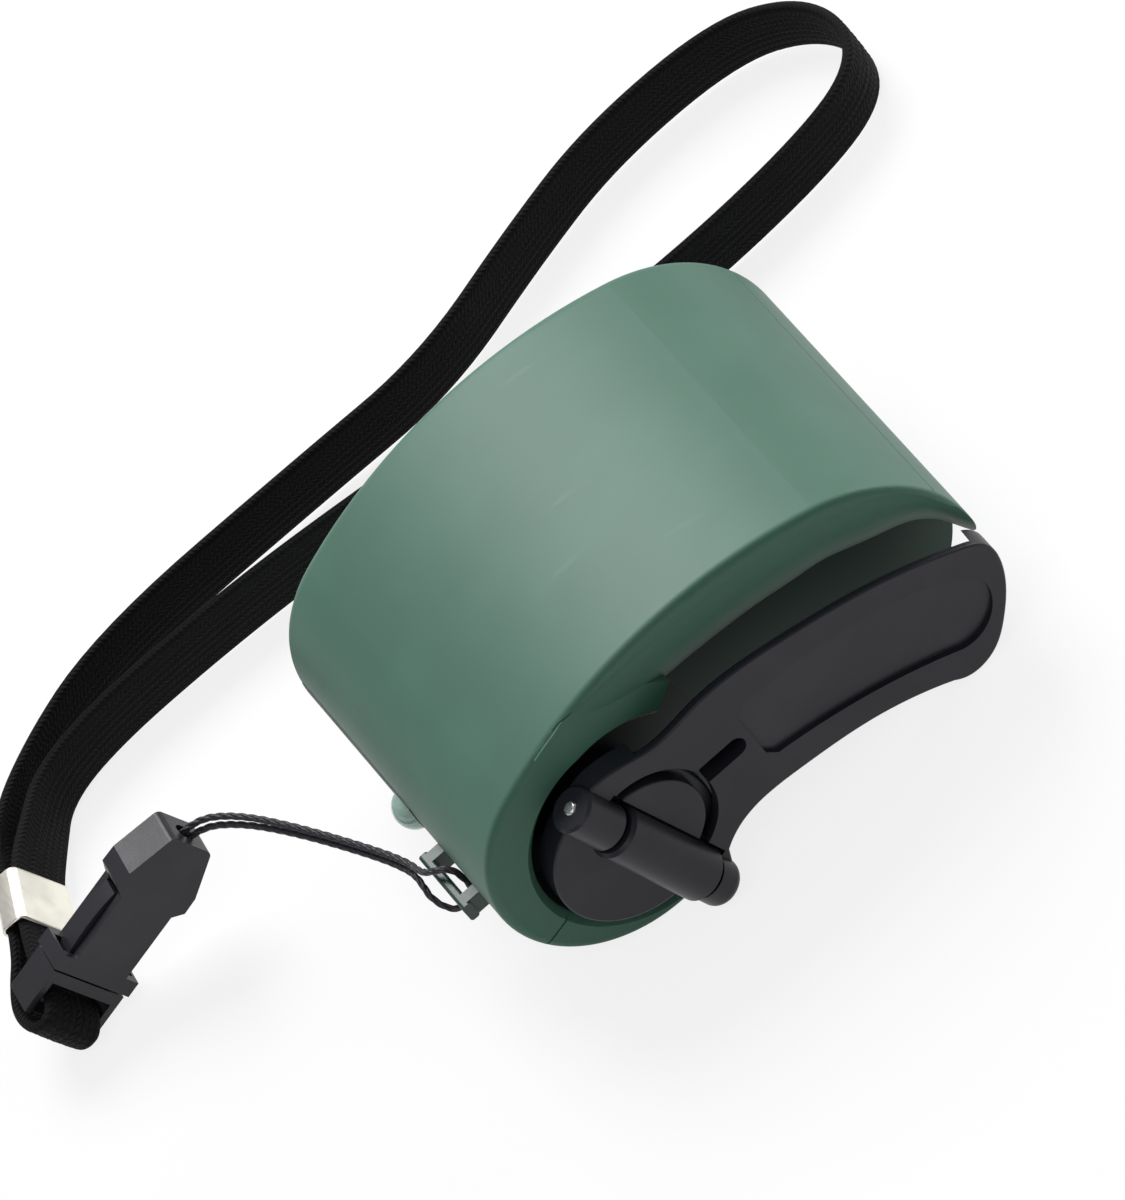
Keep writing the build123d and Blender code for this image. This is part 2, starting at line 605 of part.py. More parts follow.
def bend_radii(route):
    """Bend radius at each inner corner of a route, from its shorter run and its turn."""
    points = [Vector(*p) for p in route]
    radii = []
    for before, corner, after in zip(points, points[1:], points[2:]):
        one = corner - before
        two = after - corner
        half = radians(one.get_angle(two)) / 2
        radii.append(min(60.0, 0.45 * min(one.length, two.length) / tan(half)))
    return radii


def wrist_strap():
    """Loop of flat braid on its edge, and its short fold round the bar of the buckle."""
    loop = ribbon(STRAP_ROUTE, bend_radii(STRAP_ROUTE), STRAP_W, 0)
    fold = ribbon(FOLD_ROUTE, bend_radii(FOLD_ROUTE), STRAP_W, -STRAP_W / 2)
    return Compound([loop.solid(), (BUCKLE * Rot(90, 0, 0) * fold).solid()])


def lanyard_string():
    """Thin cord from the buckle, round the bracket and back, knotted beside the bracket."""
    path = FilletPolyline(*STRING_ROUTE, radius=bend_radii(STRING_ROUTE))
    return sweep(Plane(origin=path @ 0, z_dir=path % 0) * Circle(STRING_R), path, transition=Transition.ROUND)


def buckle_plate(points, front, back):
    """Flat piece of the buckle: points along and across it, between two depths."""
    return Pos(0, 0, front) * extrude(make_face(Polyline(*points, close=True)), back - front)


def buckle_socket():
    """String half of the release buckle, open at both narrow sides and at its mouth."""
    half = BUCKLE_T / 2
    corners = [(0, 2.6), (5.6, 4.5), (7.6, 4.55), (8.6, 3.4), (17, 3.4), (17, 5.1), (18.9, 5.1)]
    mirrored = [(x, -y) for x, y in reversed(corners)]
    body = buckle_plate(corners + mirrored, -half, half)
    body = fillet(body.edges().filter_by(Axis.Z).group_by(Axis.X)[0], 0.8)
    room = block((8.2, 20), (-3.2, 3.2), (-1.5, 1.5)) + block((8.2, 20), (-4.75, 4.75), (-1.45, 1.45))
    body = body - room
    bore = Pos(-1, 0, 0) * Rot(0, 90, 0) * Cylinder(1.1, 5, align=(Align.CENTER, Align.CENTER, Align.MIN))
    return BUCKLE * (body - bore)


def buckle_plug():
    """Strap half: frame round the strap, guide and two springy prongs."""
    frame = block((19.2, 24.8), (-4.75, 4.75), (-2.3, 2.3)) - block((20.6, 26), (-3.95, 3.95), (-3, 3))
    bar = block((23.5, 24.8), (-4.2, 4.2), (-1.3, 1.3))
    guide = block((9.5, 19.4), (-0.9, 0.9), (-1.25, 1.25))
    plug = frame + bar + guide
    for side in (1, -1):
        prong = Spline((19.4, 3.4 * side), (13.5, 4.0 * side), (8.9, 3.6 * side))
        inner = Spline((8.9, 2.9 * side), (13.5, 3.1 * side), (19.4, 2.2 * side))
        face = make_face(Curve() + [prong, Line(prong @ 1, inner @ 0), inner, Line(inner @ 1, prong @ 0)])
        plug = plug + Pos(0, 0, -1.25) * extrude(face, 2.5, dir=(0, 0, 1))
    return BUCKLE * plug


def strap_crimp():
    """Folded metal sleeve round both lanes of the strap."""
    inner = (LANE + STRAP_T / 2) * 2 + 0.02
    sleeve = Box(CRIMP_L, STRAP_W + 1.0, inner + 0.8) - Box(2 * CRIMP_L, STRAP_W + 0.2, inner)
    place = Plane(origin=(20.445, 0, 12.3), x_dir=(-2.4, 0, 8.0), z_dir=(8.0, 0, 2.4))
    return BUCKLE * place.location * sleeve


def gear_train():
    """Drive gear, both compound gears, the pinion and everything on their axes."""
    half_tooth = 180 + 180 / PINION_TEETH
    first = mesh_point((0, 0), (DRIVE_TEETH + PINION_TEETH) * DRIVE_MODULE / 2, MESH_1)
    step = (WHEEL_TEETH + PINION_TEETH) * FINE_MODULE / 2
    second = mesh_point(first, step, MESH_2)
    rotor = mesh_point(second, step, MESH_3)
    rear = REAR_PLATE + PLATE_T
    axle_span = (FRONT_WALL, rear)
    stack = (STACK[0] - 0.4, STACK[1] + 0.4)
    pinion_span = (LAYER_3[0] - PINION_OVERHANG, LAYER_3[1] + PINION_OVERHANG)
    front_holes = [(0, 0, BUSH_R), (*first, AXLE_R), (*second, AXLE_R)] + [(x, z, 1.0) for x, z in POSTS]
    rear_holes = [(0, 0, SHAFT_END_R + RUNNING_FIT), (*first, AXLE_R), (*second, AXLE_R), (*rotor, 3.0)]
    rear_holes += [(x, z, 0.8) for x, z in POSTS]
    posts = []
    plate_screws = []
    for x, z in POSTS:
        post = rod(x, z, POST_R, FRONT_WALL + PLATE_T, REAR_PLATE)
        post = post + rod(x, z, 1.0, FRONT_WALL, FRONT_WALL + PLATE_T)
        posts.append(post - rod(x, z, 0.8, REAR_PLATE - 4, REAR_PLATE))
        plate_screws.append(rod(x, z, 0.8, REAR_PLATE - 3.7, rear) + rod(x, z, 1.4, rear, rear + 0.9))
    iron, coils = stator_parts(rotor)
    bush = ring(0, 0, BUSH_R, SHAFT_R + RUNNING_FIT, RECESS, FRONT_WALL + PLATE_T)
    bush = bush + ring(0, 0, BUSH_FLANGE_R, SHAFT_R + RUNNING_FIT, RECESS - BUSH_FLANGE, RECESS)
    return {
        "crank_bush": bush,
        "crank_shaft": rod(0, 0, SHAFT_R, 0.3, LAYER_1[1]) + rod(0, 0, SHAFT_END_R, LAYER_1[1], rear + 1.2),
        "shaft_clip": ring(0, 0, 3.4, SHAFT_END_R, rear + 0.3, rear + 0.8),
        "drive_gear": gear(0, 0, DRIVE_TEETH, DRIVE_MODULE, LAYER_1, SHAFT_R, MESH_1),
        "first_gear": compound_gear(first, DRIVE_MODULE, LAYER_1, MESH_1 + half_tooth, LAYER_2, MESH_2),
        "second_gear": compound_gear(second, FINE_MODULE, LAYER_2, MESH_2 + half_tooth, LAYER_3, MESH_3),
        "first_axle": rod(*first, AXLE_R, *axle_span),
        "second_axle": rod(*second, AXLE_R, *axle_span),
        "front_gear_plate": gear_plate(FRONT_WALL, front_holes),
        "rear_gear_plate": gear_plate(REAR_PLATE, rear_holes),
        "gear_posts": Compound(posts),
        "gear_plate_screws": Compound(plate_screws),
        "generator_can": generator_can(rotor),
        "generator_cap": generator_cap(rotor),
        "generator_stator": iron,
        "stator_coils": coils,
        "generator_rotor": ring(*rotor, ROTOR_R, ROTOR_SHAFT_R, *stack),
        "rotor_shaft": rod(*rotor, ROTOR_SHAFT_R, pinion_span[0] - 0.3, CAN_BACK + 1.0),
        "generator_pinion": gear(
            *rotor, PINION_TEETH, FINE_MODULE, pinion_span, ROTOR_SHAFT_R, MESH_3 + half_tooth
        ),
    }


def electronics():
    """Board, socket, lamp and the parts on the board."""
    shell, tongue, contacts = usb_socket()
    led, legs = lamp()
    top = BOARD_TOP
    capacitor = pillar(13.5, 33.5, 3.1, top, top + 8)
    chips = [block((3.4, 8.4), y, (top, top + 1.7)) for y in ((31.6, 35.6), (37, 41))]
    return {
        "circuit_board": circuit_board(),
        "usb_shell": shell,
        "usb_tongue": tongue,
        "usb_contacts": contacts,
        "led": led,
        "led_legs": legs,
        "capacitor": fillet(capacitor.edges().group_by(Axis.Z)[-1], 0.4),
        "board_chips": Compound(chips),
        "board_screws": board_screws(),
        "generator_leads": generator_leads(),
    }


def cord_report(name, route, solid, section):
    """Print a cord's bend radii, and its volume beside its section times its length."""
    radii = bend_radii(route)
    length = FilletPolyline(*route, radius=radii).length
    print(f"{name}: radii {min(radii):.2f} to {max(radii):.2f}, length {length:.1f}")
    print(f"{name}: volume {solid.volume:.1f}, section times length {section * length:.1f}")


def main():
    """Make every piece, move it to its place on the floor and write it."""
    upper, lower = housing()
    pieces = {
        "upper_shell": upper,
        "lower_shell": lower,
        "port_panel": port_panel(),
        "lanyard_bracket": lanyard_bracket(),
        "shell_screws": case_screws(),
        "crank_hub": crank_hub(),
        "crank_arm": crank_arm(),
        "hinge_pin": hinge_pin(),
    }
    pieces.update(gear_train())
    pieces.update(electronics())
    place = Location((CRANK_X, RIM_Y, CRANK_Z))
    written = {name: place * piece for name, piece in pieces.items()}
    written["buckle_socket"] = buckle_socket()
    written["buckle_plug"] = buckle_plug()
    written["strap_crimp"] = strap_crimp()
    written["wrist_strap"] = wrist_strap()
    written["lanyard_string"] = lanyard_string()
    loop, fold = written["wrist_strap"].solids()
    cord_report("strap loop", STRAP_ROUTE, loop, STRAP_W * STRAP_T)
    cord_report("strap fold", FOLD_ROUTE, fold, STRAP_W * STRAP_T)
    cord_report("string", STRING_ROUTE, written["lanyard_string"], pi * STRING_R ** 2)
    os.makedirs("parts", exist_ok=True)
    for name, piece in written.items():
        export_step(piece, f"parts/{name}.step")


if __name__ == "__main__":
    main()
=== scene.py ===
"""Pocket hand crank charger on a pale floor: finishes, wrist strap, string, lights and camera.

The rigid pieces keep their CAD shape and get their finish here. The strap, the string and the
crimp are built in this file. All lengths are in metres, in the frame of the CAD model.
"""
import json
import logging
import math
from dataclasses import dataclass
from enum import Enum
from typing import Callable, Sequence

import bmesh
import bpy
from mathutils import Matrix, Vector

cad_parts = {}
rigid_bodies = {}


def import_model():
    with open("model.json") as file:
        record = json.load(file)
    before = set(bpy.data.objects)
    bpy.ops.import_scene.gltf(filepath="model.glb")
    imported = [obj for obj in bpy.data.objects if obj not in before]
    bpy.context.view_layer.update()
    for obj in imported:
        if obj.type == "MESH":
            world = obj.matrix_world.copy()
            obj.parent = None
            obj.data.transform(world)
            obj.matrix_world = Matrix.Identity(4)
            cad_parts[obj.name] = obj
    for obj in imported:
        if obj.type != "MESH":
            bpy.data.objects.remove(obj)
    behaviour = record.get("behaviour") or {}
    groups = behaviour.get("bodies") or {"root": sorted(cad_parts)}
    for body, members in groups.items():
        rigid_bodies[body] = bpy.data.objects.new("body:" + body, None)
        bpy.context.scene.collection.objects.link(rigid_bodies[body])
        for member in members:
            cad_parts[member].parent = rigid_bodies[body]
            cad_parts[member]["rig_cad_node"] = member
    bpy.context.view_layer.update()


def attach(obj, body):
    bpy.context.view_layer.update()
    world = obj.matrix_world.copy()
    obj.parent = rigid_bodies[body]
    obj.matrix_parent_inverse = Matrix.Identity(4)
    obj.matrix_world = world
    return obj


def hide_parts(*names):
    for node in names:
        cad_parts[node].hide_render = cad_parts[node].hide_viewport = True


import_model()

LOG = logging.getLogger("charger")
MM = 0.001
Color = tuple[float, float, float]
Point = tuple[float, float, float]

CRIMP_CENTRE: Point = (-0.06716, 0.0365, 0.00518)
CRIMP_ALONG: Point = (0.369, 0.928, 0.047)
BRAID_CROWN = 0.12


class Body(Enum):
    """Moving bodies that the pieces made here ride on."""

    HOUSING = "housing"
    STRAP = "strap"


class Metal(Enum):
    """Surface of a metal piece: its roughness and the stretch of its brush lines."""

    BRIGHT = (0.2, 1.0)
    SHEET = (0.33, 6.0)
    DULL = (0.5, 2.0)


# --------------------------------------------------------------------------------------
# Shader graphs
# --------------------------------------------------------------------------------------


class Value:
    """A shader number with arithmetic, so that a pattern reads as a formula."""

    def __init__(self, graph: "Graph", socket: bpy.types.NodeSocket) -> None:
        self.graph = graph
        self.socket = socket

    def _math(self, operation: str, *others: "Value | float") -> "Value":
        node = self.graph.node("ShaderNodeMath", {0: self}, operation=operation)
        for index, other in enumerate(others, start=1):
            self.graph.put(node.inputs[index], other)
        return Value(self.graph, node.outputs[0])

    def __add__(self, other: "Value | float") -> "Value":
        return self._math("ADD", other)

    def __sub__(self, other: "Value | float") -> "Value":
        return self._math("SUBTRACT", other)

    def __mul__(self, other: "Value | float") -> "Value":
        return self._math("MULTIPLY", other)

    def __truediv__(self, other: "Value | float") -> "Value":
        return self._math("DIVIDE", other)

    def sin(self) -> "Value":
        """Sine of the value in radians."""
        return self._math("SINE")

    def abs(self) -> "Value":
        """Distance from nought."""
        return self._math("ABSOLUTE")

    def floor(self) -> "Value":
        """Next whole number below."""
        return self._math("FLOOR")

    def part(self) -> "Value":
        """What is left above the next whole number below."""
        return self._math("FRACT")

    def power(self, exponent: float) -> "Value":
        """Value raised to an exponent."""
        return self._math("POWER", exponent)

    def step(self, low: float, high: float) -> "Value":
        """Smooth step between two limits, from 0 to 1.

        Args:
            low: Where the step is 0. It may be the higher one of the two.
            high: Where the step is 1.

        Returns:
            The stepped value.
        """
        node = self.graph.node(
            "ShaderNodeMapRange",
            {"Value": self, "From Min": low, "From Max": high},
            interpolation_type="SMOOTHSTEP",
        )
        return Value(self.graph, node.outputs["Result"])


class Graph:
    """Node tree of one material."""

    def __init__(self, name: str) -> None:
        self.material = bpy.data.materials.new(name)
        self.material.use_nodes = True
        self.tree = self.material.node_tree
        self.tree.nodes.clear()
        self.output = self.tree.nodes.new("ShaderNodeOutputMaterial")

    def put(self, target: bpy.types.NodeSocket, value: object) -> None:
        """Link a value to a socket, or set it there."""
        if isinstance(value, Value):
            value = value.socket
        if isinstance(value, bpy.types.NodeSocket):
            self.tree.links.new(value, target)
        elif isinstance(value, tuple) and len(value) == 3 and target.type == "RGBA":
            target.default_value = (*value, 1.0)
        else:
            target.default_value = value

    def node(self, kind: str, inputs: dict, **settings: object) -> bpy.types.Node:
        """Make a node.

        Args:
            kind: Blender's name for the node type.
            inputs: Values or links for its sockets, by name or number.
            settings: Values for its own settings.

        Returns:
            The new node.
        """
        node = self.tree.nodes.new(kind)
        for key, value in settings.items():
            setattr(node, key, value)
        for key, value in inputs.items():
            self.put(node.inputs[key], value)
        return node

    def place(self) -> bpy.types.NodeSocket:
        """Object coordinates of the piece."""
        return self.node("ShaderNodeTexCoord", {}).outputs["Object"]

    def axes(self) -> tuple[Value, Value, Value]:
        """Object coordinates in millimetres, one value for each axis."""
        split = self.node("ShaderNodeSeparateXYZ", {0: self.place()})
        return tuple(Value(self, out) * 1000.0 for out in split.outputs)

    def facing(self) -> Value:
        """How far the surface faces the crank side, from -1 to 1."""
        normal = self.node("ShaderNodeTexCoord", {}).outputs["Normal"]
        split = self.node("ShaderNodeSeparateXYZ", {0: normal})
        return Value(self, split.outputs[1]) * -1.0

    def surface(self) -> tuple[Value, Value]:
        """The piece's own UV map in millimetres: along it and across it."""
        own = self.node("ShaderNodeUVMap", {}).outputs[0]
        split = self.node("ShaderNodeSeparateXYZ", {0: own})
        return Value(self, split.outputs[0]) * 1000.0, Value(self, split.outputs[1]) * 1000.0

    def noise(self, size_mm: float, detail: float = 2.0, stretch: Point = (1, 1, 1)) -> Value:
        """Soft noise in object space.

        Args:
            size_mm: Size of its largest features.
            detail: How many finer octaves it holds.
            stretch: How much longer the features are along each axis.

        Returns:
            Noise from 0 to 1, about 0.5.
        """
        scale = tuple(1.0 / (size_mm * MM * s) for s in stretch)
        mapped = self.node("ShaderNodeMapping", {"Vector": self.place(), "Scale": scale})
        inputs = {"Vector": mapped.outputs[0], "Scale": 1.0, "Detail": detail}
        noise = self.node("ShaderNodeTexNoise", inputs)
        return Value(self, noise.outputs[0])

    def mix(self, factor: Value, first: object, second: object) -> bpy.types.NodeSocket:
        """Colour between two colours."""
        node = self.node("ShaderNodeMix", {}, data_type="RGBA")
        self.put(node.inputs["Factor"], factor)
        self.put(node.inputs[6], first)
        self.put(node.inputs[7], second)
        return node.outputs[2]

    def bump(self, height: Value, depth_mm: float) -> bpy.types.NodeSocket:
        """Surface relief from a height of 0 to 1."""
        inputs = {"Height": height, "Strength": 1.0, "Distance": depth_mm * MM}
        return self.node("ShaderNodeBump", inputs).outputs[0]

    def finish(self, inputs: dict) -> bpy.types.Material:
        """Close the tree with a Principled shader."""
        shader = self.node("ShaderNodeBsdfPrincipled", inputs)
        self.tree.links.new(shader.outputs[0], self.output.inputs[0])
        return self.material


# --------------------------------------------------------------------------------------
# Finishes
# --------------------------------------------------------------------------------------


@dataclass(frozen=True)
class Finish:
    """A named surface finish.

    Attributes:
        name: Name of the material.
        color: Main colour, linear.
    """

    name: str
    color: Color

    def shade(self, amount: float) -> Color:
        """The finish's colour, lightened or darkened."""
        return tuple(min(1.0, c * amount) for c in self.color)

    def build(self) -> bpy.types.Material:
        """Make the material."""
        raise NotImplementedError


@dataclass(frozen=True)
class Moulded(Finish):
    """Moulded plastic with a fine mould grain and slight handling marks.

    Attributes:
        roughness: Roughness between the marks.
        grain_mm: Size of the grain.
        grain_depth: Relief of the grain in millimetres.
        worn: How much lighter the handled patches are.
        gloss: Strength of the surface reflection, 0.5 for plain plastic.
    """

    roughness: float = 0.45
    grain_mm: float = 0.16
    grain_depth: float = 0.012
    worn: float = 1.12
    gloss: float = 0.5

    def build(self) -> bpy.types.Material:
        """Make the material."""
        graph = Graph(self.name)
        grain = graph.noise(self.grain_mm, 2.0)
        handled = graph.noise(9.0, 3.0).step(0.42, 0.7)
        color = graph.mix(handled, self.shade(0.95), self.shade(self.worn))
        rough = handled * -0.06 + self.roughness + grain * 0.06
        normal = graph.bump(grain, self.grain_depth)
        return graph.finish(
            {"Base Color": color, "Roughness": rough, "Specular IOR Level": self.gloss, "Normal": normal}
        )


@dataclass(frozen=True)
class ShellPlastic(Finish):
    """Green housing: satin skin, spark grain on the rim, and painted shade on all that faces the crank
    side, deep in the recess and in the hub pocket.

    Attributes:
        rim_y: Place of the rim of the crank side, in millimetres as all lengths here.
        pocket: Middle of the hub pocket along X and Z, and its radius.
        pocket_mouth: Depths at which the painted shade in the pocket starts and is full.
        pocket_floor: Depths at which it ends and is still full.
        roughness: Roughness of the skin.
        crank_side_shade_color: Painted shade of the rim and of all that faces the crank side.
        recess_shade_color: Painted shade at the bottom of the recess and in the pocket.
    """

    rim_y: float = -19.475
    pocket: tuple[float, float, float] = (-13.185, 13.5, 12.15)
    pocket_mouth: tuple[float, float] = (0.9, 2.2)
    pocket_floor: tuple[float, float] = (11.5, 10.5)
    roughness: float = 0.47
    crank_side_shade_color: Color = (0.034, 0.105, 0.068)
    recess_shade_color: Color = (0.003, 0.014, 0.009)

    def build(self) -> bpy.types.Material:
        """Make the material."""
        graph = Graph(self.name)
        x, y, z = graph.axes()
        depth = y - self.rim_y
        facing = graph.facing().step(0.15, 0.7)
        rim = facing * depth.step(1.2, 0.6)
        # Where painted shade falls deep in the recess, on what faces the crank side.
        inside = facing * depth.step(1.5, 6.5)
        across, up, radius = self.pocket
        away = ((x - across).power(2.0) + (z - up).power(2.0)).power(0.5)
        # Where painted shade falls in the hub pocket, from its mouth to its floor.
        pocket = away.step(radius + 0.25, radius)
        pocket = pocket * depth.step(*self.pocket_mouth) * depth.step(*self.pocket_floor)
        fine = graph.noise(0.14, 2.0)
        coarse = graph.noise(0.34, 2.5)
        cloud = graph.noise(14.0, 2.0).step(0.35, 0.7)
        skin = graph.mix(cloud, self.shade(0.96), self.shade(1.05))
        # Painted shade on the rim and on all else that faces the crank side.
        side_shaded = graph.mix(facing * 0.9, skin, self.crank_side_shade_color)
        # Painted shade deep in the recess.
        shaded = graph.mix(inside * 0.7, side_shaded, self.recess_shade_color)
        # Painted shade in the hub pocket.
        color = graph.mix(pocket * 0.9, shaded, self.recess_shade_color)
        scuff = graph.noise(2.2, 4.0, (6, 1, 1)).step(0.62, 0.8)
        rough = fine * 0.08 + self.roughness + rim * 0.1 + scuff * -0.05
        height = fine * 0.3 + coarse * rim * 1.6
        normal = graph.bump(height, 0.026)
        return graph.finish(
            {"Base Color": color, "Roughness": rough, "Specular IOR Level": 0.4, "Normal": normal}
        )


@dataclass(frozen=True)
class MetalSheet(Finish):
    """Plain metal with drawn or brushed lines."""

    surface: Metal = Metal.SHEET

    def build(self) -> bpy.types.Material:
        """Make the material."""
        graph = Graph(self.name)
        roughness, stretch = self.surface.value
        lines = graph.noise(0.3, 3.0, (1, stretch, stretch))
        stain = graph.noise(4.0, 3.0).step(0.4, 0.75)
        color = graph.mix(stain, self.shade(1.05), self.shade(0.86))
        rough = lines * 0.16 + roughness + stain * 0.08
        return graph.finish(
            {"Base Color": color, "Metallic": 1.0, "Roughness": rough, "Normal": graph.bump(lines, 0.006)}
        )


@dataclass(frozen=True)
class WoundWire(Finish):
    """Enamelled wire wound in close turns."""

    pitch_mm: float = 0.3

    def build(self) -> bpy.types.Material:
        """Make the material."""
        graph = Graph(self.name)
        x, y, z = graph.axes()
        turn = ((y + x * 0.1 + z * 0.1) * (2 * math.pi / self.pitch_mm)).sin() * 0.5 + 0.5
        # Colour follows the turns: painted shade between them and painted highlight on their crests.
        color = graph.mix(turn, self.shade(0.55), self.shade(1.1))
        rough = turn * -0.1 + 0.4
        return graph.finish(
            {"Base Color": color, "Metallic": 0.8, "Roughness": rough, "Normal": graph.bump(turn, 0.05)}
        )


@dataclass(frozen=True)
class ClearLamp(Finish):
    """Clear tinted resin."""

    def build(self) -> bpy.types.Material:
        """Make the material."""
        graph = Graph(self.name)
        haze = graph.noise(1.5, 2.0)
        return graph.finish(
            {
                "Base Color": graph.mix(haze, self.shade(0.92), self.shade(1.0)),
                "Roughness": haze * 0.06 + 0.1,
                "Transmission Weight": 0.35,
                "Coat Weight": 0.6,
                "IOR": 1.5,
            }
        )


@dataclass(frozen=True)
class Braid(Finish):
    """Flat braid: columns of slanting ribs that change side from one column to the next."""

    column_mm: float = 0.94
    rib_mm: float = 0.62

    def build(self) -> bpy.types.Material:
        """Make the material."""
        graph = Graph(self.name)
        along, across = graph.surface()
        column = across / self.column_mm
        side = ((column.floor() * 0.5).part() * 4.0) - 1.0
        inside = column.part() - 0.5
        slant = along / self.rib_mm + inside * side * 0.9
        rib = (slant * (2 * math.pi)).sin() * 0.5 + 0.5
        crown = (inside * 2.0).abs().power(2.0) * -1.0 + 1.0
        fuzz = graph.noise(0.12, 3.0)
        height = rib.power(0.6) * crown * 0.8 + fuzz * 0.2
        dusty = graph.noise(6.0, 3.0).step(0.45, 0.8)
        # Colour follows the height of the weave: painted shade in the hollows between ribs and columns;
        # the lighter patches on the raised yarn are dust.
        color = graph.mix(height, self.shade(0.45), graph.mix(dusty, self.shade(1.15), self.shade(1.7)))
        return graph.finish(
            {
                "Base Color": color,
                "Roughness": fuzz * 0.1 + 0.8,
                "Specular IOR Level": 0.2,
                "Normal": graph.bump(height, 0.12),
            }
        )


@dataclass(frozen=True)
class Yarn(Finish):
    """Spun yarn with fibres along it."""

    def build(self) -> bpy.types.Material:
        """Make the material."""
        graph = Graph(self.name)
        along, across = graph.surface()
        fibre = ((across * 16.0 + along * 9.0).sin() * 0.5 + 0.5) * 0.7 + graph.noise(0.1, 3.0) * 0.5
        color = graph.mix(fibre, self.shade(0.5), self.shade(1.5))
        return graph.finish(
            {"Base Color": color, "Roughness": 0.5, "Sheen Weight": 0.1, "Normal": graph.bump(fibre, 0.03)}
        )


@dataclass(frozen=True)
class PickYarn(Finish):
    """Dull dark yarn of the braid, a little dusty in patches."""

    def build(self) -> bpy.types.Material:
        """Make the material."""
        graph = Graph(self.name)
        fibre = graph.noise(0.09, 3.0)
        dusty = graph.noise(7.0, 3.0).step(0.45, 0.8)
        worn = graph.mix(dusty, self.shade(1.0), self.shade(1.7))
        color = graph.mix(fibre.step(0.3, 0.7), self.shade(0.55), worn)
        normal = graph.bump(fibre, 0.05)
        return graph.finish(
            {"Base Color": color, "Roughness": 0.78, "Specular IOR Level": 0.2, "Normal": normal}
        )


SHELL = ShellPlastic("shell_green", (0.064, 0.148, 0.108))
BRACKET = Moulded("bracket_green", (0.014, 0.045, 0.032), roughness=0.36, grain_depth=0.01)
BLACK = Moulded(
    "black_plastic", (0.0155, 0.0155, 0.0215), roughness=0.36, grain_mm=0.12, grain_depth=0.006,
    worn=1.25, gloss=0.3,
)
BUCKLE_BLACK = Moulded(
    "buckle_plastic", (0.016, 0.016, 0.0195), roughness=0.36, grain_depth=0.012, worn=1.3, gloss=0.35
)
PANEL = Moulded("panel_grey", (0.03, 0.042, 0.038), roughness=0.55, grain_depth=0.02)
WHITE_GEAR = Moulded("gear_white", (0.72, 0.7, 0.63), roughness=0.4, grain_depth=0.006, worn=1.02)
BOARD = Moulded("board_green", (0.03, 0.2, 0.07), roughness=0.25, grain_mm=0.6, grain_depth=0.01)
MAGNET = Moulded("magnet_grey", (0.09, 0.09, 0.1), roughness=0.5)
SLEEVE = Moulded("sleeve_blue", (0.02, 0.03, 0.09), roughness=0.3)
STEEL = MetalSheet("steel", (0.62, 0.62, 0.62), Metal.BRIGHT)
TIN = MetalSheet("tin", (0.72, 0.72, 0.7), Metal.SHEET)
IRON = MetalSheet("iron", (0.3, 0.3, 0.31), Metal.DULL)
BRONZE = MetalSheet("bronze", (0.72, 0.5, 0.25), Metal.SHEET)
CRIMP = MetalSheet("crimp_nickel", (0.9, 0.87, 0.78), Metal.SHEET)
COPPER = WoundWire("copper_wire", (0.72, 0.33, 0.16))
LAMP = ClearLamp("lamp_resin", (0.46, 0.68, 0.58))
PICK = PickYarn("strap_picks", (0.0042, 0.0042, 0.0056))
BRAID = Braid("strap_braid", (0.004, 0.004, 0.0052))
YARN = Yarn("string_yarn", (0.0075, 0.005, 0.0115))

FINISHES: dict[Finish, tuple[str, ...]] = {
    SHELL: ("upper_shell", "lower_shell"),
    BRACKET: ("lanyard_bracket",),
    PANEL: ("port_panel",),
    BLACK: ("crank_hub", "crank_arm", "crank_bush", "usb_tongue", "generator_cap", "board_chips"),
    BUCKLE_BLACK: ("buckle_socket", "buckle_plug"),
    WHITE_GEAR: ("front_gear_plate", "rear_gear_plate", "drive_gear", "first_gear", "second_gear"),
    STEEL: (
        "shell_screws", "gear_posts", "gear_plate_screws", "first_axle", "second_axle", "board_screws",
        "crank_shaft", "shaft_clip", "hinge_pin", "rotor_shaft",
    ),
    TIN: ("generator_can", "usb_shell", "led_legs"),
    IRON: ("generator_stator",),
    BRONZE: ("usb_contacts", "generator_pinion"),
    COPPER: ("stator_coils", "generator_leads"),
    BOARD: ("circuit_board",),
    SLEEVE: ("capacitor",),
    MAGNET: ("generator_rotor",),
    LAMP: ("led",),
}


def dress_nodes() -> dict[str, bpy.types.Object]:
    """Give every carried-over node its finish.

    Returns:
        The node objects by name.
    """
    nodes = {o["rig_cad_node"]: o for o in bpy.context.scene.objects if "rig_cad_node" in o}
    for finish, names in FINISHES.items():
        material = finish.build()
        for name in names:
            piece = nodes[name]
            for place in piece.material_slots:
                place.material = material
            if not piece.material_slots:
                piece.data.materials.append(material)
    return nodes


# --------------------------------------------------------------------------------------
# Mesh pieces
# --------------------------------------------------------------------------------------


def spline_points(name: str, route: Sequence[Point], resolution: int) -> list[Vector]:
    """Points along the smooth curve that a route controls.

    Args:
        name: Name of the temporary curve.
        route: Control points.
        resolution: Points for each control point.

    Returns:
        Points from the route's first to its last point.
    """
    data = bpy.data.curves.new(name, "CURVE")
    data.dimensions = "3D"
    data.resolution_u = resolution
    spline = data.splines.new("NURBS")
    spline.points.add(len(route) - 1)
    for target, point in zip(spline.points, route):
        target.co = (*point, 1.0)
    spline.order_u = 3
    spline.use_endpoint_u = True
    holder = bpy.data.objects.new(name, data)
    bpy.context.scene.collection.objects.link(holder)
    line = bpy.data.meshes.new_from_object(holder.evaluated_get(bpy.context.evaluated_depsgraph_get()))
    points = [v.co.copy() for v in line.vertices]
    bpy.data.objects.remove(holder)
    bpy.data.curves.remove(data)
    bpy.data.meshes.remove(line)
    return points


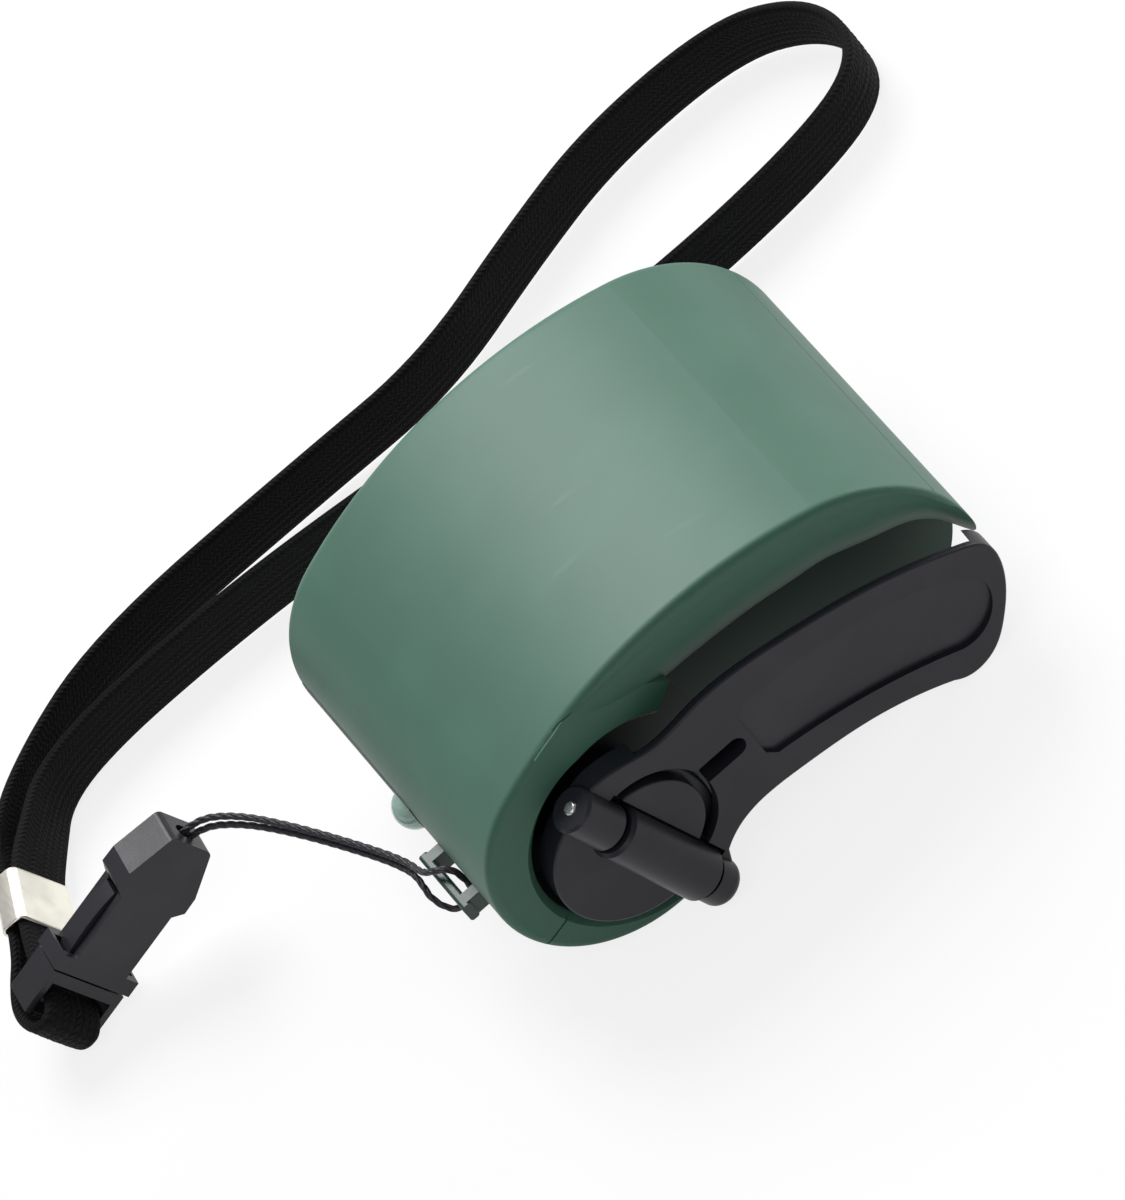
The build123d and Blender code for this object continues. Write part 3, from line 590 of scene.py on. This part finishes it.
def add_piece(name: str, build: Callable[[bmesh.types.BMesh], None], finish: Finish) -> bpy.types.Object:
    """Make a mesh piece.

    Args:
        name: Name of the piece.
        build: Fills the mesh.
        finish: Finish of the piece.

    Returns:
        The new object, at the origin.
    """
    mesh = bmesh.new()
    build(mesh)
    bmesh.ops.recalc_face_normals(mesh, faces=mesh.faces)
    data = bpy.data.meshes.new(name)
    mesh.to_mesh(data)
    mesh.free()
    for face in data.polygons:
        face.use_smooth = True
    data.materials.append(finish.build())
    piece = bpy.data.objects.new(name, data)
    bpy.context.scene.collection.objects.link(piece)
    return piece


def sweep(
    mesh: bmesh.types.BMesh,
    line: Sequence[Vector],
    ups: Sequence[Vector],
    section: Sequence[tuple[float, float]],
) -> None:
    """Sweep a closed section along a line, with a UV map in metres.

    Args:
        mesh: Mesh to fill.
        line: Points of the line.
        ups: Direction of the section's width at each point.
        section: Section points: across the width and through the thickness.
    """
    layer = mesh.loops.layers.uv.verify()
    rings = []
    runs = [0.0]
    for before, after in zip(line, line[1:]):
        runs.append(runs[-1] + (after - before).length)
    girth = [0.0]
    for one, two in zip(section, [*section[1:], section[0]]):
        girth.append(girth[-1] + math.dist(one, two))
    for index, point in enumerate(line):
        ahead = line[min(index + 1, len(line) - 1)] - line[max(index - 1, 0)]
        side = ahead.cross(ups[index]).normalized()
        width = side.cross(ahead).normalized()
        rings.append([mesh.verts.new(point + width * w + side * t) for w, t in section])
    count = len(section)
    for index, (one, two) in enumerate(zip(rings, rings[1:])):
        for k in range(count):
            face = mesh.faces.new((one[k], one[(k + 1) % count], two[(k + 1) % count], two[k]))
            places = ((index, k), (index, k + 1), (index + 1, k + 1), (index + 1, k))
            for loop, (row, spot) in zip(face.loops, places):
                loop[layer].uv = (runs[row], girth[spot])
    for ring_, flip in ((rings[0], False), (rings[-1], True)):
        mesh.faces.new(ring_[::-1] if flip else ring_)


def tape_section(width: float, thickness: float) -> list[tuple[float, float]]:
    """Section of a flat braid: slightly crowned faces and round edges."""
    points = []
    half, edge = width / 2, thickness / 2
    for side in (1, -1):
        for step in range(17):
            w = half * (1 - step / 8) * side
            inset = max(0.0, abs(w) - (half - edge))
            t = math.sqrt(max(0.0, edge * edge - inset * inset)) * (1 - BRAID_CROWN * (abs(w) / half) ** 2)
            if abs(abs(w) - half) > 1e-9 or side * w > 0:
                points.append((w, t * side))
    return points


def smooth(value: float) -> float:
    """Smooth step from 0 to 1."""
    value = max(0.0, min(1.0, value))
    return value * value * (3 - 2 * value)


class PickNodes:
    """Geometry nodes that lay one yarn pick on every point of a guide."""

    def __init__(self) -> None:
        self.tree = bpy.data.node_groups.new("braid_picks", "GeometryNodeTree")
        self.inputs: dict[str, str] = {}
        start = self.tree.nodes.new("NodeGroupInput")
        end = self.tree.nodes.new("NodeGroupOutput")
        for name, kind in (
            ("Guide", "Geometry"), ("Pick Size", "Vector"), ("Variation", "Float"), ("Seed", "Int"),
            ("Finish", "Material"),
        ):
            made = self.tree.interface.new_socket(name, in_out="INPUT", socket_type=f"NodeSocket{kind}")
            self.inputs[name] = made.identifier
        self.tree.interface.new_socket("Picks", in_out="OUTPUT", socket_type="NodeSocketGeometry")
        ball = self.add("GeometryNodeMeshIcoSphere", {"Radius": 0.5, "Subdivisions": 1})
        pick = self.add("GeometryNodeTransform", {0: ball.outputs[0], "Scale": start.outputs["Pick Size"]})
        out = self.add("GeometryNodeInputNamedAttribute", {"Name": "out"}, data_type="FLOAT_VECTOR")
        run = self.add("GeometryNodeInputNamedAttribute", {"Name": "run"}, data_type="FLOAT_VECTOR")
        turn = self.add(
            "FunctionNodeAxesToRotation", {0: out.outputs[0], 1: run.outputs[0]},
            primary_axis="Z", secondary_axis="X",
        )
        least = self.add("ShaderNodeMath", {0: 1.0, 1: start.outputs["Variation"]}, operation="SUBTRACT")
        size = self.add("FunctionNodeRandomValue", {"Seed": start.outputs["Seed"]})
        self.tree.links.new(least.outputs[0], size.inputs[2])
        size.inputs[3].default_value = 1.0
        laid = self.add(
            "GeometryNodeInstanceOnPoints",
            {"Points": start.outputs["Guide"], "Instance": pick.outputs[0], "Rotation": turn.outputs[0]},
        )
        self.tree.links.new(size.outputs[1], laid.inputs["Scale"])
        real = self.add("GeometryNodeRealizeInstances", {0: laid.outputs[0]})
        dressed = self.add(
            "GeometryNodeSetMaterial", {"Geometry": real.outputs[0], "Material": start.outputs["Finish"]}
        )
        self.tree.links.new(dressed.outputs[0], end.inputs["Picks"])

    def add(self, kind: str, inputs: dict, **settings: object) -> bpy.types.Node:
        """Make a node, with its settings and its linked or set inputs."""
        node = self.tree.nodes.new(kind)
        for key, value in settings.items():
            setattr(node, key, value)
        for key, value in inputs.items():
            if isinstance(value, bpy.types.NodeSocket):
                self.tree.links.new(value, node.inputs[key])
            else:
                node.inputs[key].default_value = value
        return node

    def lay(self, name: str, guide: bpy.types.Mesh, values: dict[str, object]) -> bpy.types.Object:
        """Run the nodes on a guide.

        Args:
            name: Name of the new piece.
            guide: Points with their directions in the attributes "out" and "run".
            values: Values for the tree's inputs, by name.

        Returns:
            A plain mesh object.
        """
        holder = bpy.data.objects.new(f"{name}_guide", guide)
        bpy.context.scene.collection.objects.link(holder)
        modifier = holder.modifiers.new("picks", "NODES")
        modifier.node_group = self.tree
        for key, value in values.items():
            modifier[self.inputs[key]] = value
        data = bpy.data.meshes.new_from_object(holder.evaluated_get(bpy.context.evaluated_depsgraph_get()))
        holder.modifiers.remove(modifier)
        bpy.data.objects.remove(holder)
        data.name = name
        for face in data.polygons:
            face.use_smooth = True
        piece = bpy.data.objects.new(name, data)
        bpy.context.scene.collection.objects.link(piece)
        return piece


@dataclass
class BraidPicks:
    """Yarn picks that show on the faces of the flat braid.

    Attributes:
        pitch: Distance from one row to the next.
        columns: Columns across the braid.
        size: Length, width and height of a pick.
        slant: Angle of a pick to the braid, in degrees.
        sink: How far a pick's middle lies below the braid's face.
        margin: Bare strip along each edge.
        crimp_half: Half the length in the crimp, in which no picks are laid.
        crimp_reach: How far from the crimp's middle that counts.
    """

    pitch: float = 0.00066
    columns: int = 8
    size: Point = (0.0011, 0.00046, 0.0002)
    slant: float = 38.0
    sink: float = 0.00004
    margin: float = 0.0005
    crimp_half: float = 0.0033
    crimp_reach: float = 0.006

    def covered(self, point: Vector) -> bool:
        """Whether the crimp covers a point."""
        away = point - Vector(CRIMP_CENTRE)
        along = abs(away.dot(Vector(CRIMP_ALONG).normalized()))
        return away.length < self.crimp_reach and along < self.crimp_half

    def guide(
        self, line: Sequence[Vector], ups: Sequence[Vector], width: float, thickness: float
    ) -> bpy.types.Mesh:
        """Lay out the picks along both faces of the braid.

        Args:
            line: Points along the braid.
            ups: Direction of the braid's width at each point.
            width: Width of the braid.
            thickness: Its thickness.

        Returns:
            Points of all picks, with the direction out of the braid and along the pick.
        """
        places, outs, runs = [], [], []
        spread = width - 2 * self.margin
        due = 0.0
        gone = 0.0
        lean = math.radians(self.slant)
        for index in range(1, len(line)):
            step = line[index] - line[index - 1]
            while due <= gone + step.length:
                share = (due - gone) / step.length
                point = line[index - 1] + step * share
                due += self.pitch
                if self.covered(point):
                    continue
                ahead = step.normalized()
                side = ahead.cross(ups[index - 1].lerp(ups[index], share)).normalized()
                across = side.cross(ahead)
                for column in range(self.columns):
                    offset = (column + 0.5) / self.columns - 0.5
                    sign = 1 if column % 2 else -1
                    rise = thickness / 2 * (1 - BRAID_CROWN * (2 * offset) ** 2) - self.sink
                    for face in (1, -1):
                        places.append(point + across * offset * spread + side * rise * face)
                        outs.append(side * face)
                        runs.append(ahead * math.cos(lean) + across * math.sin(lean) * sign)
            gone += step.length
        mesh = bpy.data.meshes.new("pick_guide")
        mesh.from_pydata(places, [], [])
        for name, values in (("out", outs), ("run", runs)):
            layer = mesh.attributes.new(name, "FLOAT_VECTOR", "POINT")
            layer.data.foreach_set("vector", [x for value in values for x in value])
        return mesh

    def build(
        self, line: Sequence[Vector], ups: Sequence[Vector], width: float, thickness: float
    ) -> bpy.types.Object:
        """Make the picks along a strap."""
        values = {"Pick Size": self.size, "Variation": 0.12, "Seed": 7, "Finish": PICK.build()}
        piece = PickNodes().lay("wrist_strap_picks", self.guide(line, ups, width, thickness), values)
        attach(piece, Body.STRAP.value)
        return piece


@dataclass
class WristStrap:
    """Flat braid: round the loop, through the crimp and round the bar of the buckle.

    Attributes:
        width: Width of the braid.
        thickness: Its thickness.
        buckle_up: Direction across the leaning buckle, which the braid follows there.
        turn_run: Length over which it turns from upright to that direction.
        loop: Route from the crimp round the wrist loop and back.
        fold: Route from the crimp round the buckle's bar and back.
    """

    width: float = 0.0076
    thickness: float = 0.00125
    buckle_up: Point = (-0.356, 0.095, 0.930)
    turn_run: float = 0.022
    loop: tuple[Point, ...] = (
        (-0.06788, 0.0368, 0.00488), (-0.0664, 0.0408, 0.0047), (-0.0653, 0.0465, 0.0041),
        (-0.0585, 0.0535, 0.0038), (-0.0435, 0.0596, 0.00384), (-0.0148, 0.0592, 0.00384),
        (0.0015, 0.0586, 0.00384), (0.018, 0.0646, 0.00384), (0.031, 0.0682, 0.00384),
        (0.048, 0.0678, 0.00384), (0.056, 0.0625, 0.00384), (0.0586, 0.055, 0.00384),
        (0.0556, 0.0486, 0.00384), (0.046, 0.0459, 0.00384), (0.028, 0.045, 0.00384),
        (0.004, 0.047, 0.00384), (-0.0215, 0.0509, 0.00384), (-0.036, 0.0519, 0.00384),
        (-0.0495, 0.0519, 0.00384), (-0.0576, 0.05, 0.0038), (-0.0616, 0.045, 0.0043),
        (-0.0647, 0.0403, 0.0052),
    )
    fold: tuple[Point, ...] = (
        (-0.06644, 0.0362, 0.0055), (-0.0687, 0.03052, 0.0052), (-0.06985, 0.02601, 0.00522),
        (-0.07037, 0.02205, 0.00543), (-0.07208, 0.02009, 0.00497), (-0.07398, 0.02155, 0.00409),
        (-0.07427, 0.02498, 0.00364), (-0.07302, 0.02783, 0.00382), (-0.07007, 0.03131, 0.0046),
        (-0.068, 0.0365, 0.00488),
    )

    def build(self, crimp: bpy.types.Object, plug: bpy.types.Object) -> bpy.types.Object:
        """Args:
            crimp: Crimp round both its lanes. Not used.
            plug: Buckle half that it holds. Not used.

        Returns:
            The strap.
        """
        line = spline_points("strap_route", self.loop + self.fold, 8)
        runs = [0.0]
        for before, after in zip(line, line[1:]):
            runs.append(runs[-1] + (after - before).length)
        entry = min(range(len(line)), key=lambda i: (line[i] - Vector(self.fold[0])).length)
        lean = Vector(self.buckle_up)
        ups = []
        for run in runs:
            share = max(smooth(1 - run / self.turn_run), smooth(1 - (runs[entry] - run) / self.turn_run))
            ups.append(Vector((0, 0, 1)).lerp(lean, share).normalized())
        section = tape_section(self.width, self.thickness)
        piece = add_piece("wrist_strap_braid", lambda mesh: sweep(mesh, line, ups, section), BRAID)
        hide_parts("wrist_strap")
        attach(piece, Body.STRAP.value)
        picks = BraidPicks().build(line, ups, self.width, self.thickness)
        LOG.info("strap length %.1f mm", runs[-1] * 1000)
        return piece


@dataclass
class Crimp:
    """Folded metal sleeve round both lanes of the strap, with its joint on the broad face.

    Attributes:
        centre: Its middle.
        along: Direction of the strap in it.
        up: Direction of the strap's width in it.
        length: Length along the strap.
        height: Outer size along the strap's width.
        depth: Outer size through both lanes.
        sheet: Thickness of its metal.
        bend: Outer radius of its four bends.
        joint_in: Distance of its joint from the lower bend.
        joint_half: Half the gap of its joint.
    """

    centre: Point = CRIMP_CENTRE
    along: Point = CRIMP_ALONG
    up: Point = (-0.356, 0.095, 0.930)
    length: float = 0.0067
    height: float = 0.0084
    depth: float = 0.0036
    sheet: float = 0.00036
    bend: float = 0.0009
    joint_in: float = 0.0023
    joint_half: float = 0.00012

    def section(self) -> list[tuple[float, float]]:
        """Closed outline of the folded sheet, open at its joint."""
        def loop(inset: float) -> list[tuple[float, float]]:
            half_w = self.height / 2 - inset
            half_t = self.depth / 2 - inset
            radius = max(0.0002, self.bend - inset)
            points = []
            for sign_w, sign_t, start in ((1, 1, 0), (-1, 1, 90), (-1, -1, 180), (1, -1, 270)):
                for step in range(7):
                    angle = math.radians(start + step * 15)
                    points.append((
                        sign_w * (half_w - radius) + radius * math.cos(angle),
                        sign_t * (half_t - radius) + radius * math.sin(angle),
                    ))
            return points

        outer = loop(0.0)
        inner = loop(self.sheet)
        joint = self.height / 2 - self.joint_in
        near, far = joint - self.joint_half, joint + self.joint_half
        face = self.depth / 2
        lip = [(near, -face), (near, -face + self.sheet)]
        other = [(far, -face + self.sheet), (far, -face)]
        return outer[21:] + outer[:21] + lip + inner[:21][::-1] + inner[21:][::-1] + other

    def build(self) -> bpy.types.Object:
        """Make the crimp."""
        way = Vector(self.along).normalized()
        middle = Vector(self.centre)
        shares = (-0.5, -0.47, -0.2, 0.2, 0.47, 0.5)
        line = [middle + way * (share * self.length) for share in shares]
        section = self.section()

        def build(mesh: bmesh.types.BMesh) -> None:
            sweep(mesh, line, [Vector(self.up)] * len(line), section)

        piece = add_piece("strap_crimp_sleeve", build, CRIMP)
        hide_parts("strap_crimp")
        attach(piece, Body.STRAP.value)
        return piece


@dataclass
class LanyardString:
    """Plied cord: out of the buckle, round the bracket, and back.

    Attributes:
        diameter: Diameter of the cord.
        ply_pitch: Length of one turn of a ply.
        ply_share: Radius of a ply as a share of the diameter.
        plies: Number of plies.
        route: Control points of its middle line.
    """

    diameter: float = 0.0008
    ply_pitch: float = 0.0042
    ply_share: float = 0.31
    plies: int = 3
    route: tuple[Point, ...] = (
        (-0.0508, 0.0229, 0.01315), (-0.048, 0.0225, 0.0141), (-0.0442, 0.0186, 0.0144),
        (-0.0402, 0.0119, 0.0139), (-0.0356, 0.0026, 0.0133), (-0.0338, -0.0022, 0.0135),
        (-0.0335, -0.0048, 0.0141), (-0.0329, -0.0072, 0.0156), (-0.0306, -0.0089, 0.0157),
        (-0.0304, -0.0099, 0.0113), (-0.0333, -0.0091, 0.0103), (-0.0345, -0.007, 0.0119),
        (-0.0341, -0.0046, 0.0129), (-0.0343, -0.0022, 0.0126), (-0.0359, 0.0024, 0.01245),
        (-0.0405, 0.0117, 0.01305), (-0.0445, 0.0182, 0.0135), (-0.0482, 0.022, 0.01325),
        (-0.051, 0.02265, 0.0123),
    )

    def build(self, socket: bpy.types.Object) -> bpy.types.Object:
        """Args:
            socket: Buckle half on its ends. Not used.

        Returns:
            The string.
        """
        line = spline_points("string_route", self.route, 24)
        length = sum((b - a).length for a, b in zip(line, line[1:]))
        ply_radius = self.diameter * self.ply_share
        section = [
            (ply_radius * math.cos(a * math.pi / 3), ply_radius * math.sin(a * math.pi / 3))
            for a in range(6)
        ]

        def build(mesh: bmesh.types.BMesh) -> None:
            frames = self.frames(line)
            for ply in range(self.plies):
                run = 0.0
                strand = []
                for index, (point, (one, two)) in enumerate(zip(line, frames)):
                    if index:
                        run += (point - line[index - 1]).length
                    angle = 2 * math.pi * (run / self.ply_pitch + ply / self.plies)
                    offset = one * math.cos(angle) + two * math.sin(angle)
                    strand.append(point + offset * (self.diameter / 2 - ply_radius))
                sweep(mesh, strand, [one for one, _ in frames], section)

        piece = add_piece("lanyard_string_plies", build, YARN)
        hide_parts("lanyard_string")
        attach(piece, Body.HOUSING.value)
        return piece

    @staticmethod
    def frames(line: Sequence[Vector]) -> list[tuple[Vector, Vector]]:
        """Two directions across the line at each point, carried along without twist."""
        one = Vector((0, 0, 1))
        made = []
        for index in range(len(line)):
            ahead = (line[min(index + 1, len(line) - 1)] - line[max(index - 1, 0)]).normalized()
            one = (one - ahead * one.dot(ahead)).normalized()
            made.append((one, ahead.cross(one)))
        return made


# --------------------------------------------------------------------------------------
# Studio
# --------------------------------------------------------------------------------------


@dataclass
class Studio:
    """Camera, floor, lamps and world.

    Attributes:
        distance: Distance from the camera to the middle of what it looks at.
        elevation: Angle of the view above the horizon, in degrees.
        focal_px: Focal length in pixels of a frame 1125 wide and 1200 high.
        aim: Point from which the frame's middle is measured.
        offset: Place of the frame's middle from there: along X and along the camera's rise.
        across: Direction of the frame's right-hand side: along X and along the camera's rise.
        lamps: Name, direction, size and power of each lamp.
        lamp_distance: Distance of the lamps from the origin.
        sky: Strength of the light from all round.
        floor_z: Height of the floor, just below the lowest piece.
    """

    distance: float = 1.55
    elevation: float = 45.5
    focal_px: float = 15190.0
    aim: Point = (-0.0152, -0.019475, 0.0113)
    offset: tuple[float, float] = (0.01109, 0.02367)
    across: tuple[float, float] = (0.7512, -0.6602)
    lamps: tuple[tuple[str, Point, float, float], ...] = (
        ("key", (0.1, 0.75, 0.9), 0.5, 8.5),
        ("edge", (1.0, 0.35, 0.35), 0.4, 3.0),
        ("front", (-0.5, -0.6, 1.0), 0.5, 1.6),
    )
    lamp_distance: float = 0.9
    sky: float = 0.26
    floor_z: float = -0.0003

    def axes(self) -> tuple[Vector, Vector, Vector]:
        """The camera's level direction, its rise and its line of sight."""
        angle = math.radians(self.elevation)
        level = Vector((1, 0, 0))
        rise = Vector((0, math.sin(angle), math.cos(angle)))
        sight = Vector((0, math.cos(angle), -math.sin(angle)))
        return level, rise, sight

    def camera(self) -> None:
        """Put the camera where the picture was taken."""
        level, rise, sight = self.axes()
        right = level * self.across[0] + rise * self.across[1]
        top = level * -self.across[1] + rise * self.across[0]
        centre = Vector(self.aim) + level * self.offset[0] + rise * self.offset[1] - sight * self.distance
        data = bpy.data.cameras.new("camera")
        data.sensor_width = 36.0
        data.lens = self.focal_px / 1200 * data.sensor_width
        data.clip_start = 0.05
        data.clip_end = 20.0
        camera = bpy.data.objects.new("camera", data)
        turn = Matrix((right, top, -sight)).transposed()
        camera.matrix_world = Matrix.Translation(centre) @ turn.to_4x4()
        bpy.context.scene.collection.objects.link(camera)
        bpy.context.scene.camera = camera

    def lamp(self, name: str, towards: Point, size: float, power: float) -> None:
        """Put a soft square lamp in a direction from the object, facing it."""
        data = bpy.data.lights.new(name, "AREA")
        data.size = size
        data.energy = power
        lamp = bpy.data.objects.new(name, data)
        way = Vector(towards).normalized()
        lamp.location = way * self.lamp_distance
        lamp.rotation_euler = way.to_track_quat("Z", "Y").to_euler()
        bpy.context.scene.collection.objects.link(lamp)

    def floor(self) -> None:
        """Pale floor that the camera sees nearly white, with a soft shadow."""
        graph = Graph("floor_white")
        path = graph.node("ShaderNodeLightPath", {})
        seen = Value(graph, path.outputs["Is Camera Ray"]) + Value(graph, path.outputs["Is Glossy Ray"])
        seen = seen + Value(graph, path.outputs["Is Transmission Ray"])
        paint = graph.node("ShaderNodeBsdfDiffuse", {"Color": (0.86, 0.86, 0.86)})
        glow = graph.node("ShaderNodeEmission", {"Color": (1.0, 1.0, 1.0), "Strength": 1.0})
        mixed = graph.node(
            "ShaderNodeMixShader", {0: seen.step(0.0, 1.0) * 0.82, 1: paint.outputs[0], 2: glow.outputs[0]}
        )
        graph.tree.links.new(mixed.outputs[0], graph.output.inputs[0])
        mesh = bmesh.new()
        bmesh.ops.create_grid(mesh, x_segments=1, y_segments=1, size=2.5)
        data = bpy.data.meshes.new("floor")
        mesh.to_mesh(data)
        mesh.free()
        data.materials.append(graph.material)
        floor = bpy.data.objects.new("floor", data)
        floor.location.z = self.floor_z
        bpy.context.scene.collection.objects.link(floor)

    def world(self) -> None:
        """Soft light from all round, and a white backdrop for the camera."""
        world = bpy.data.worlds.new("studio")
        world.use_nodes = True
        tree = world.node_tree
        tree.nodes.clear()
        out = tree.nodes.new("ShaderNodeOutputWorld")
        path = tree.nodes.new("ShaderNodeLightPath")
        soft = tree.nodes.new("ShaderNodeBackground")
        soft.inputs["Color"].default_value = (0.95, 0.97, 1.0, 1.0)
        soft.inputs["Strength"].default_value = self.sky
        white = tree.nodes.new("ShaderNodeBackground")
        white.inputs["Color"].default_value = (1.0, 1.0, 1.0, 1.0)
        mixed = tree.nodes.new("ShaderNodeMixShader")
        tree.links.new(path.outputs["Is Camera Ray"], mixed.inputs[0])
        tree.links.new(soft.outputs[0], mixed.inputs[1])
        tree.links.new(white.outputs[0], mixed.inputs[2])
        tree.links.new(mixed.outputs[0], out.inputs[0])
        bpy.context.scene.world = world

    def build(self) -> None:
        """Make the studio."""
        self.camera()
        self.floor()
        self.world()
        for name, towards, size, power in self.lamps:
            self.lamp(name, towards, size, power)
        bpy.context.scene.view_settings.view_transform = "Standard"


def main() -> None:
    """Dress the part and set up its picture."""
    logging.basicConfig(level=logging.INFO)
    nodes = dress_nodes()
    Studio().build()
    WristStrap().build(Crimp().build(), nodes["buckle_plug"])
    LanyardString().build(nodes["buckle_socket"])


if __name__ == "__main__":
    main()
